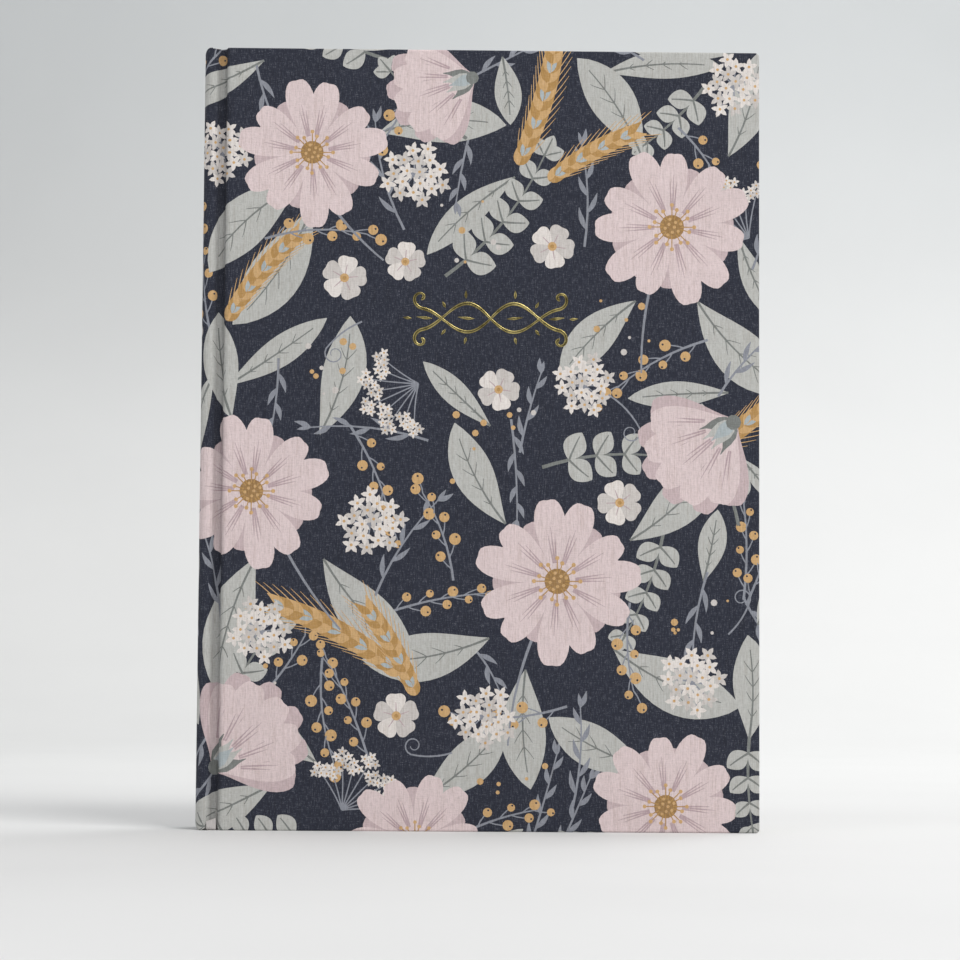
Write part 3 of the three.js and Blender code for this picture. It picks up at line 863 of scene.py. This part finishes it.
def outer(u):
    """The outer face at u from the spine's middle: x and y, and which way and how deep it folds at head and tail."""
    run = max(i for i in range(len(STARTS)) if i == 0 or u >= STARTS[i] - 1e-9)
    s = u - STARTS[run]
    if run == 0:
        return LEFT, -s, 1.0, 0.0, FULL
    if run == 1:
        angle = math.pi + s / COVER
        x, y = polar(HINGE_X, HINGE_Y, COVER, angle)
        if angle >= 1.5 * math.pi:
            return x, y, 0.0, 1.0, EDGE
        depth = min(FULL, max(EDGE, COVER - 0.2 / max(1e-6, abs(math.cos(angle)))))
        return x, y, -math.cos(angle), -math.sin(angle), depth
    if run == 2:
        return *lip(s / RUNS[2]), 0.0, 1.0, EDGE
    if run == 3:
        return LIP[2][0] + s, GROOVE_Y, 0.0, 1.0, EDGE + (TURNED_Y - GROOVE_Y - EDGE) * s / RUNS[3]
    if run == 4:
        x, y = polar(WALL_X - GROOVE_FILLET, GROOVE_Y - GROOVE_FILLET, GROOVE_FILLET, math.pi / 2 - s / GROOVE_FILLET)
    elif run == 5:
        x, y = WALL_X, GROOVE_Y - GROOVE_FILLET - s
    elif run == 6:
        angle = math.pi * (1 + s / RUNS[6] / 2)
        x, y = WALL_X + EASE * (1 + math.cos(angle)), FRONT + EDGE * (1 + math.sin(angle))
    else:
        x, y = u - FACE_AT, FRONT
    return x, y, 0.0, 1.0, TURNED_Y - y


def wrapped(t, depth):
    """Cloth that runs on by t past an edge: how far it stands out past the edge's start, and how far it has gone in."""
    r = min(EDGE, depth / 2)
    quarter, wall = r * math.pi / 2, depth - 2 * r
    s = t * (2 * quarter + wall) / WRAP if t < WRAP else 2 * quarter + wall + t - WRAP
    if s < quarter:
        return r * math.sin(s / r), r * (1 - math.cos(s / r))
    s -= quarter
    if s < wall:
        return r, r + s
    s -= wall
    if s < quarter:
        return r * math.cos(s / r), depth - r + r * math.sin(s / r)
    return quarter - s, depth


def drawn_in(x, y, rise, head):
    """How much the cloth draws in at head or tail, round the spine's corner and in the joint."""
    low, over = 0.0, LEFT + SPINE_CORNER - x
    if over > 0:
        low = (SPINE_CORNER - math.sqrt(max(0.0, SPINE_CORNER ** 2 - over ** 2))) * smooth((rise + 9) / 8)
    rise -= low
    joint = smooth((x - DIP_FROM) / 1.2) * smooth((DIP_TO - x) / 1.0)
    outside = smooth((DIP_Y - y) / 1.5 if y < 0 else 1)
    return low + (HEAD_NOTCH if head else NOTCH) * joint * smooth((rise + 13) / 12) * outside


def on_book(u, v):
    """The flat cloth's place (u, v) on the front half of the case, in millimetres."""
    head = v > HEIGHT / 2
    past_side, past_end = u - U_EDGE, (v - HEIGHT if head else -v) + EDGE
    if past_side > -EDGE and past_end > -EDGE:
        along, up = past_side + EDGE, past_end + EDGE
        far = math.hypot(along, up)
        out, deep = (far, 0.0) if far < EDGE else wrapped(far - EDGE, FULL)
        out += EDGE if far >= EDGE else 0.0
        x, y, rise = RIGHT - CORNER + out * along / far, FRONT + deep, out * up / far - EDGE
    elif past_side > 0:
        out, deep = wrapped(past_side, FULL)
        x, y, rise = RIGHT - EDGE + out, FRONT + deep, past_end
    else:
        x, y, fold_x, fold_y, depth = outer(u)
        rise = past_end
        if past_end > 0:
            rise, deep = wrapped(past_end, depth)
            x, y = x + fold_x * deep, y + fold_y * deep
    rise -= drawn_in(x, y, rise, head)
    return x, y, HEIGHT - EDGE + rise if head else EDGE - rise


def inside(u, v, depth):
    """The place that lies a depth below the cloth's outer face."""
    step = 0.02
    here, right, up = (Vector(on_book(*spot)) for spot in ((u, v), (u + step, v), (u, v + step)))
    normal = (right - here).cross(up - here)
    return tuple(here - normal.normalized() * depth if normal.length >= 1e-9 else here)


def wrap_steps():
    steps = spread(0.0, EDGE * math.pi / 2, 5)
    return [-0.3] + steps + [WRAP - s for s in reversed(steps)] + [WRAP + 0.3]


def arc(centre_v, far, sign=1):
    """Points on a quarter circle round a corner of the flat cloth, from the fore-edge to head or tail."""
    return [polar(U_EDGE - EDGE, centre_v, far, sign * math.pi / 2 * k / 8) for k in range(9)]


def guide_lines():
    """Lines on the flat cloth along which it bends, so that no triangle cuts across a bend."""
    us = [STARTS[0], STARTS[1] - 0.3]
    for run, count in ((1, 26), (2, 6), (3, 11), (4, 7), (5, 1), (6, 8)):
        us += [STARTS[run] + RUNS[run] * i / count for i in range(count)]
    us += [STARTS[7], STARTS[7] + 0.3]
    lines = [((u, -25.0), (u, HEIGHT + 25)) for u in us]
    lines += [((U_EDGE + t, CORNER), (U_EDGE + t, HEIGHT - CORNER)) for t in wrap_steps()]
    for t in wrap_steps() + [-1.2, -2.4, -3.6, -5, -6.5, -8.2, -10, -13]:
        lines += [((-2.0, level), (U_EDGE - EDGE, level)) for level in (HEIGHT - EDGE + t, EDGE - t)]
    for centre_v, sign in ((HEIGHT - CORNER, 1), (CORNER, -1)):
        lines += [((U_EDGE - EDGE, centre_v), far) for far in arc(centre_v, EDGE + WRAP + EDGE, sign)]
        for spot in [0.4, EDGE] + [EDGE + t for t in wrap_steps()[1:]] + [EDGE + WRAP + 0.4]:
            ring = arc(centre_v, spot, sign)
            lines += list(zip(ring, ring[1:]))
    return lines


def cloth_outline():
    """The flat cloth's edge for one half of the case: full turn-ins, mitred at the outer corners."""
    turn, jog = TURN_IN - EDGE, STARTS[3]
    wrap_end, spine_end = HEIGHT - EDGE + WRAP + turn, HEIGHT - EDGE + WRAP + SPINE_TURN_IN - EDGE
    high = [(0.0, spine_end), (jog, spine_end), (jog + 0.5, wrap_end), (U_EDGE - EDGE - (turn - EDGE), wrap_end)]
    high += reversed(arc(HEIGHT - CORNER, EDGE + WRAP + EDGE))
    high.append((U_EDGE + WRAP + turn, HEIGHT - CORNER - (turn - EDGE)))
    return high + [(u, HEIGHT - v) for u, v in reversed(high)]


def turned_left(points):
    """The outline in the order that keeps its inside on the left."""
    area = sum(a[0] * b[1] - b[0] * a[1] for a, b in zip(points, points[1:] + points[:1]))
    return points if area > 0 else points[::-1]


def triangulated(outline, lines, prints=()):
    """Triangles inside an outline that follow all the lines and the prints' edges, with the topmost print of each."""
    spots, edges, faces = [], [], []
    for shape in [outline] + [points for _, points in prints]:
        faces.append(list(range(len(spots), len(spots) + len(shape))))
        spots += [Vector(p) for p in turned_left(shape)]
    for a, b in lines:
        edges.append((len(spots), len(spots) + 1))
        spots += [Vector(a), Vector(b)]
    flat, _, triangles, _, _, owners = delaunay_2d_cdt(spots, edges, faces, 1, 1e-5, True)
    kept = [(tri, max(owner)) for tri, owner in zip(triangles, owners) if 0 in owner]
    return [tuple(p) for p in flat], [tri for tri, _ in kept], [top for _, top in kept]


def border_of(triangles):
    """Edges that belong to a single triangle, in that triangle's direction."""
    seen = {(tri[k], tri[(k + 1) % 3]): True for tri in triangles for k in range(3)}
    return [edge for edge in seen if (edge[1], edge[0]) not in seen]


def numbered(triangles, first):
    """New numbers, from the first one on, for the points that triangles use."""
    return {v: first + i for i, v in enumerate(sorted({v for tri in triangles for v in tri}))}


def add_cloth(end, prints, *nodes):
    """One half of the case's cloth: the printed outer face, a plain inner face, and the cut edge between them."""
    back = end == "back"
    outline, lines = cloth_outline(), guide_lines()
    flat, triangles, tops = triangulated(outline, lines, prints)
    border = border_of(triangles)
    inner_flat, inner_triangles, _ = triangulated(outline, lines + [(flat[a], flat[b]) for a, b in border])
    number = numbered(triangles, 0)
    inner_number = numbered(inner_triangles, len(number))
    points = [on_book(*flat[v]) for v in number] + [inside(*inner_flat[v], CLOTH) for v in inner_number]
    uv = [flat[v] for v in number] + [inner_flat[v] for v in inner_number]
    faces = [tuple(number[v] for v in tri) for tri in triangles]
    faces += [tuple(inner_number[v] for v in reversed(tri)) for tri in inner_triangles]
    place = {(round(inner_flat[v][0], 3), round(inner_flat[v][1], 3)): inner_number[v] for v in inner_number}
    for a, b in border:
        below = [place.get((round(flat[v][0], 3), round(flat[v][1], 3))) for v in (b, a)]
        if None not in below:
            faces.append((number[b], number[a], below[1], below[0]))
    colours = [INKS[prints[top - 1][0]] if top else INKS[NAVY] for top in tops]
    colours += [UNPRINTED] * (len(faces) - len(colours))
    points, faces = placed_on(points, faces, back)
    piece = add_piece(f"{end}_half_of_cloth", points, faces, cloth_material(), uv=uv, sharp_above=60)
    layer = piece.data.color_attributes.new("ink", "FLOAT_COLOR", "CORNER")
    layer.data.foreach_set("color", [c for face, colour in zip(faces, colours) for _ in face for c in (*colour, 1.0)])
    bend(piece, f"{end}_cover", LIP[0][0], -100.35, 0.0119 if back else -0.0119)
    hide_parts(*nodes)


def printed_on(back):
    """The print on one half: the back's motifs first, then those of the front over them, where they reach round."""
    made = []
    for turned in (True, False):
        for ink, points in shapes if turned else shapes[back_only:]:
            if turned:
                spots = [(-(x + FACE_AT), HEIGHT - z) for x, z in points]
            else:
                spots = [(x + FACE_AT, z) for x, z in points]
            if back:
                spots = [(-u, v) for u, v in spots]
            if max(u for u, _ in spots) > 0:
                made.append((ink, spots))
    return made


draw(UNDER_FOIL)
back_only = len(shapes)
draw(FILL)
draw(DESIGN)
add_cloth("front", printed_on(False), "front_cloth", "spine_cloth")
add_cloth("back", printed_on(True), "back_cloth")


# Foil

FOIL_X, FOIL_Z = 3.7, 197.5  # the ornament's middle
FOIL_LIFT, FOIL_GAP = 0.11, 0.02  # height of the rims, and of the foil over the cloth
STRAND_END, STRAND_LOOP = 26.6, 19  # how far a strand reaches before it curls, and the length of its loops
CURL_TURN, CURL_RADIUS = 0.19, 4.4  # the curl's angle in radians at each step, and its radius at its start
DROP_WIDTHS = [0.1, 0.5, 0.85, 1.1, 1.05, 0.85, 0.6, 0.35, 0.1]
DROPS = (
    (6.2, 0.0, 0, 6.6), (22.6, 0.0, 0, 6.2), (30.6, 0.0, 0, 3.4), (9.5, 7.8, 84, 3.2), (9.5, -7.2, -84, 2.8),
    (17.4, 4.2, 58, 2.8), (17.4, -4.2, -58, 2.8),
)


def strand(rise):
    """One line of the ornament's right half: it swings, lower and lower, and curls outwards at its end."""
    xs = spread(0.0, STRAND_END, 56)
    line = [(x, rise * (1 - 0.3 * x / STRAND_END) * math.sin(math.pi * x / STRAND_LOOP)) for x in xs]
    turn = -CURL_TURN if rise > 0 else CURL_TURN
    return spiral(line, turn, CURL_RADIUS, lambda radius, step: radius * 0.94 ** step, 34)


def foil_lines():
    """The ornament's lines, each with its widths: two strands with drops in and beside their loops, twice."""
    made = []
    for rise, widest in ((6.6, 1.3), (-5.8, 1.2)):
        line, thin = strand(rise), 0.8
        swell = [abs(math.sin(2.5 * math.pi * i / (len(line) - 1))) ** 0.8 for i in range(len(line) - 1)]
        made.append((line, [thin + (widest - thin) * share for share in swell] + [0.15]))
    for x, z, turn, size in DROPS:
        made.append((curve(x, z, turn, size, 10, 8), DROP_WIDTHS))
    return [([(sign * x, z) for x, z in line], widths) for line, widths in made for sign in (1, -1)]


def add_foil():
    """Each line has a raised rim on both sides of a low middle, so that its edges catch the light; the middle faces
    take a darker gold, a painted dark reflection.
    """
    across = 8
    points, faces = [], []
    for line, widths in foil_lines():
        faces += rows_of_faces(len(line), across + 1, False, len(points))
        for index, (x, z) in enumerate(line):
            side = math.radians(heading_at(line, index) + 90)
            for k in range(across + 1):
                share = k / across - 0.5
                px, pz = polar(x, z, share * widths[index], side)
                lift = FOIL_LIFT * abs(math.sin(2 * math.pi * share)) * min(1.0, widths[index])
                points.append((px + FOIL_X, FRONT - FOIL_GAP - lift, pz + FOIL_Z))
    rims = foil_material("gold_foil", linear(108, 97, 56), linear(172, 158, 104))
    # Painted dark reflection: the middle faces of each line get this darker gold
    dark_reflection_gold = foil_material("gold_foil_painted_dark_reflection", linear(46, 43, 34), linear(74, 68, 48))
    kinds = [int(index % across in (3, 4)) for index in range(len(faces))]
    piece = add_piece("foil_ornament", points, faces, rims, dark_reflection_gold, sharp_above=80, kinds=kinds)
    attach(piece, "front_cover")


add_foil()


# Papers

STRIP_X = -104.25  # the endpapers' edge at the spine
LEAF_Y, STRIP_Y, PASTED_Y = -10.0, -10.35, -10.55
JOINT_X, PASTED_X = -101.6, -99.0  # where a pastedown leaves its strip and where it reaches the board
RIDGE_X = 92.0  # where a fine ridge starts in the pastedown, over the edge of the cloth's turn-in


def paper_on_edge(path, thickness, low, high):
    """A paper that stands on edge along a path of (x, y), between two heights: its points, faces and flat places."""
    near, far = [], []
    for index, (x, y) in enumerate(path):
        a, b = path[max(index - 1, 0)], path[min(index + 1, len(path) - 1)]
        half = thickness / 2 / math.dist(a, b)
        nx, ny = -(b[1] - a[1]) * half, (b[0] - a[0]) * half
        near.append((x - nx, y - ny))
        far.append((x + nx, y + ny))
    points = [(x, y, z) for z in (low, high) for x, y in near + far[::-1]]
    return points, slab_faces(len(path)), [(x, z) for x, _, z in points]


def add_endpaper(name, path, thickness, low, high, body, start_x, end_x, *nodes):
    points, faces, uv = paper_on_edge(path, thickness, low, high)
    piece = add_piece(name, *placed_on(points, faces, name.startswith("back")), END_PAPER, uv=uv)
    bend(piece, body, start_x, end_x)
    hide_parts(*nodes)


def pastedown_path():
    path = [(x, STRIP_Y) for x in spread(STRIP_X, JOINT_X, 3)]
    for step in range(1, 21):
        t = step / 20
        path.append((JOINT_X + (PASTED_X - JOINT_X) * t, STRIP_Y + (PASTED_Y - STRIP_Y) * smooth(t)))
    path += [(x, PASTED_Y) for x in spread(-98.4, RIDGE_X, 8)]
    path += [(RIDGE_X + 0.5, PASTED_Y + 0.1), (RIDGE_X + 0.9, PASTED_Y)]
    return path + [(x, PASTED_Y) for x in spread(RIDGE_X + 1.5, 104.675, 2)]


def flyleaf_path():
    middle, radius = (STRIP_Y + LEAF_Y) / 2, (LEAF_Y - STRIP_Y) / 2
    path = [polar(STRIP_X, middle, radius, math.radians(270 - 180 * step / 8)) for step in range(9)]
    return path + [(x, LEAF_Y) for x in spread(-103.8, -95.0, 34) + spread(-90.0, PAGE_RIGHT, 8)]


def add_section(number, low, high):
    """Eight leaves folded together: a rounded fold at the spine, faces with ruled lines and cut edges."""
    pick = random.Random(number)
    right = PAGE_RIGHT - pick.uniform(0.0, 0.25)
    tail, head = PAGE_TAIL + pick.uniform(0.0, 0.2), PAGE_HEAD - pick.uniform(0.0, 0.2)
    middle, radius = (low + high) / 2, (high - low) / 2
    stations = []
    for step in range(1, 9):
        angle = math.radians(90 * step / 8)
        half = radius * math.sin(angle)
        stations.append((FOLD_X + radius * (1 - math.cos(angle)), middle - half, middle + half))
    stations += [(x, low, high) for x in spread(-103.2, -91.0, 30) + spread(-85.0, right, 6)]
    count = len(stations)
    ring = [(x, y) for x, y, _ in stations] + [(x, y) for x, _, y in reversed(stations)]
    points = [(x, y, z) for z in (tail, head) for x, y in ring]
    faces = slab_faces(count)
    kinds = [int(k == count - 1 or k >= len(ring)) for k in range(len(faces))]
    uv = []
    for k, face in enumerate(faces):
        for x, y, z in (points[v] for v in face):
            uv.append((y - low if kinds[k] else x, x if k >= len(ring) else z))
    name = f"section_{number:02d}"
    piece = add_piece(f"{name}_sewn", points, faces, PAGE_PAPER, PAGE_EDGE, uv=uv, kinds=kinds)
    turning = number if number <= 4 else 13 - number
    if turning <= 4:
        start = HINGE_X + 5.0 + 0.6 * turning
        bend(piece, f"{name}_leaves", start, start + 5.5)
        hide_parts(name, f"{name}_fold")
    else:
        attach(piece, "spine_and_block")
        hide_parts(name)


END_PAPER = paper_material("endpaper", linear(236, 232, 224))
PAGE_PAPER = paper_material("page_paper", linear(240, 235, 224), ruled=True)
PAGE_EDGE = leaf_edge_material()

for end in ("front", "back"):
    add_endpaper(
        f"{end}_endpaper", pastedown_path(), 0.2, 3.4, 299.6, f"{end}_cover", -100.875, -99.375, f"{end}_pastedown",
    )
    add_endpaper(
        f"{end}_free_endpaper", flyleaf_path(), 0.24, PAGE_TAIL, PAGE_HEAD, f"{end}_flyleaf_leaf",
        HINGE_X + 4.5, HINGE_X + 9.3, f"{end}_flyleaf", f"{end}_flyleaf_fold",
    )

for index, start in enumerate([0.9 + 1.65 * i for i in range(4)] + [7.5, 8.85]):
    low = HINGE_Y + start
    add_section(index + 1, low, low + SECTION)
    add_section(12 - index, -low - SECTION, -low)


# Headbands

BAND_LENGTH = 20.3
BETWEEN, CUT = 0.86, 0.8  # the cord's radius between two turns of thread and at its ends; on a turn it is 1
THREAD_SLANT = 0.12
BAND_STRIP = ((-104.725, 292.0), (-104.425, 292.0), (-104.425, 301.0), (-104.725, 301.0))


def add_headband(name, node, head):
    """A cord wound with thread, in two colours, on a strip that is glued behind the folds."""
    turns, steps, around = 37, 6, 14
    rings = turns * steps + 1
    points = []
    for k, y in enumerate(spread(-BAND_LENGTH / 2, BAND_LENGTH / 2, rings - 1)):
        ridge = abs(math.sin(math.pi * k / steps))
        r = BETWEEN + (1 - BETWEEN) * ridge ** 0.7 if 0 < k < rings - 1 else CUT
        for j in range(around):
            angle = 2 * math.pi * j / around
            x, z = polar(BAND_X, BAND_Z, r, angle)
            points.append((x, y + THREAD_SLANT * math.cos(angle), z))
    faces, base = tube_faces(rings, around), len(points)
    ys = spread(-BAND_LENGTH / 2, BAND_LENGTH / 2, 24)
    points += [(x, y, z) for y in ys for x, z in BAND_STRIP]
    faces += [(b, a, d, c) for a, b, c, d in rows_of_faces(len(ys), 4, first=base)]
    top = len(points) - 4
    faces += [(base, base + 1, base + 2, base + 3), (top + 3, top + 2, top + 1, top)]
    if head:
        faces = turned_over(faces)
    else:
        points = [(x, y, HEIGHT - z) for x, y, z in points]
    piece = add_piece(name, points, faces, THREAD, sharp_above=50)
    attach(piece, "spine_and_block")
    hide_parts(node)


THREAD = thread_material()
add_headband("headband_wound", "headband", True)
add_headband("tailband_wound", "tailband", False)


# Pieces kept from the CAD model

KEPT = {
    "board": board_material("greyboard", linear(158, 150, 140), linear(122, 115, 106), 1.4),
    "spine_lining": board_material("kraft_lining", linear(176, 140, 100), linear(150, 116, 80), 0.8),
    "mull": woven_material("mull", linear(232, 224, 206), linear(150, 140, 120), 1.1, 0.95, 0.2),
    "sewing_tape": woven_material("sewing_tape", linear(232, 226, 212), linear(190, 182, 166), 0.5, 0.9, 0.8),
}
for node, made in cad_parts.items():
    for word, material in KEPT.items():
        if word in node:
            made.data.materials.clear()
            made.data.materials.append(material)


# Floor, backdrop and light


def floor_material():
    """Pale paper with painted shade: a little darker towards the camera, up the wall and to the left, with a painted
    shadow at the front left; the mottle is the paper's own.
    """
    m = Nodes("backdrop_paper")
    place = m.metres()
    across, deep, up = m.split(place)
    mottle = m.noise(place, 6.0, 3.0)
    grain = m.noise(place, 900.0)
    height = m.ramp(up, 0.05, 0.95)
    near = m.ramp(deep, -0.5, 1.0, 1.0, 0.0)
    side = m.ramp(across, -1.0, 0.9, 1.0, 0.0)
    painted_shadow_front_left = m.times(near, m.ramp(across, -0.4, 0.3, 1.0, 0.0))
    # Painted shade: darker up the wall, where the light falls off
    colour = m.mix(height, linear(236, 236, 235), linear(217, 220, 221))
    # Painted shade: a little darker near the camera, against the lamps' light there
    colour = m.tinted(near, colour, linear(246, 246, 247))
    # Painted shade: darker to the left, up the wall
    colour = m.tinted(m.times(side, m.ramp(height, 0.0, 0.6)), colour, linear(232, 232, 232))
    # Painted shadow on the floor at the front left
    colour = m.tinted(painted_shadow_front_left, colour, linear(246, 246, 246))
    colour = m.tinted(m.ramp(mottle, 0.3, 0.7), colour, linear(253, 253, 253))
    return m.finish(colour, (grain, 0.1, 0.0001), 0.7, Specular_IOR_Level=0.3)


def add_backdrop():
    """A floor that sweeps up into a wall behind the book. Its lengths are in metres."""
    radius, depth, height, half = 0.9, 1.2, 4.0, 4.0
    line = [(-3.5, 0.0), (-1.0, 0.0), (0.0, 0.0), (depth, 0.0)]
    line += [polar(depth, radius, radius, math.radians(90 * step / 16 - 90)) for step in range(1, 17)]
    line.append((depth + radius, height))
    points = [(x / MM, y / MM, z / MM) for y, z in line for x in (-half, -1.0, 1.0, half)]
    add_piece("backdrop", points, rows_of_faces(len(line), 4, False), floor_material())


def add_lamp(name, place, aim, size, power, colour=(1, 1, 1)):
    data = bpy.data.lights.new(name, "AREA")
    data.shape = "RECTANGLE"
    data.size, data.size_y = size
    data.energy = power
    data.color = colour
    made = bpy.data.objects.new(name, data)
    made.location = place
    made.visible_camera = False
    made.rotation_euler = (Vector(aim) - Vector(place)).to_track_quat("-Z", "Y").to_euler()
    bpy.context.scene.collection.objects.link(made)


def add_world(light, seen):
    """Even light from all round; the camera and glossy surfaces see the pale background instead."""
    world = bpy.data.worlds.new("studio")
    world.use_nodes = True
    nodes, join = world.node_tree.nodes, world.node_tree.links.new
    path, either, mix = (nodes.new("ShaderNode" + kind) for kind in ("LightPath", "Math", "Mix"))
    either.operation = "MAXIMUM"
    mix.data_type = "RGBA"
    join(path.outputs["Is Camera Ray"], either.inputs[0])
    join(path.outputs["Is Glossy Ray"], either.inputs[1])
    join(either.outputs[0], mix.inputs[0])
    mix.inputs[6].default_value = (*light, 1)
    mix.inputs[7].default_value = (*seen, 1)
    join(mix.outputs[2], nodes["Background"].inputs[0])
    bpy.context.scene.world = world


add_backdrop()
add_lamp("key", (1.0, -1.3, 1.9), (0, 0, 0.12), (1.2, 1.2), 33, (1.0, 0.988, 0.97))
add_lamp("fill", (-1.7, -1.5, 1.0), (0, 0, 0.12), (1.4, 1.4), 9, (0.975, 0.988, 1.0))
add_lamp("back", (0.7, 0.5, 2.2), (0.1, 1.6, 0.3), (2.0, 1.0), 16)
add_lamp("rim", (1.0, 1.3, 1.3), (0, 0, 0.1), (0.8, 0.8), 6.5)
add_world((0.369, 0.374, 0.38), linear(228, 229, 229))

bpy.context.scene.view_settings.view_transform = "Standard"
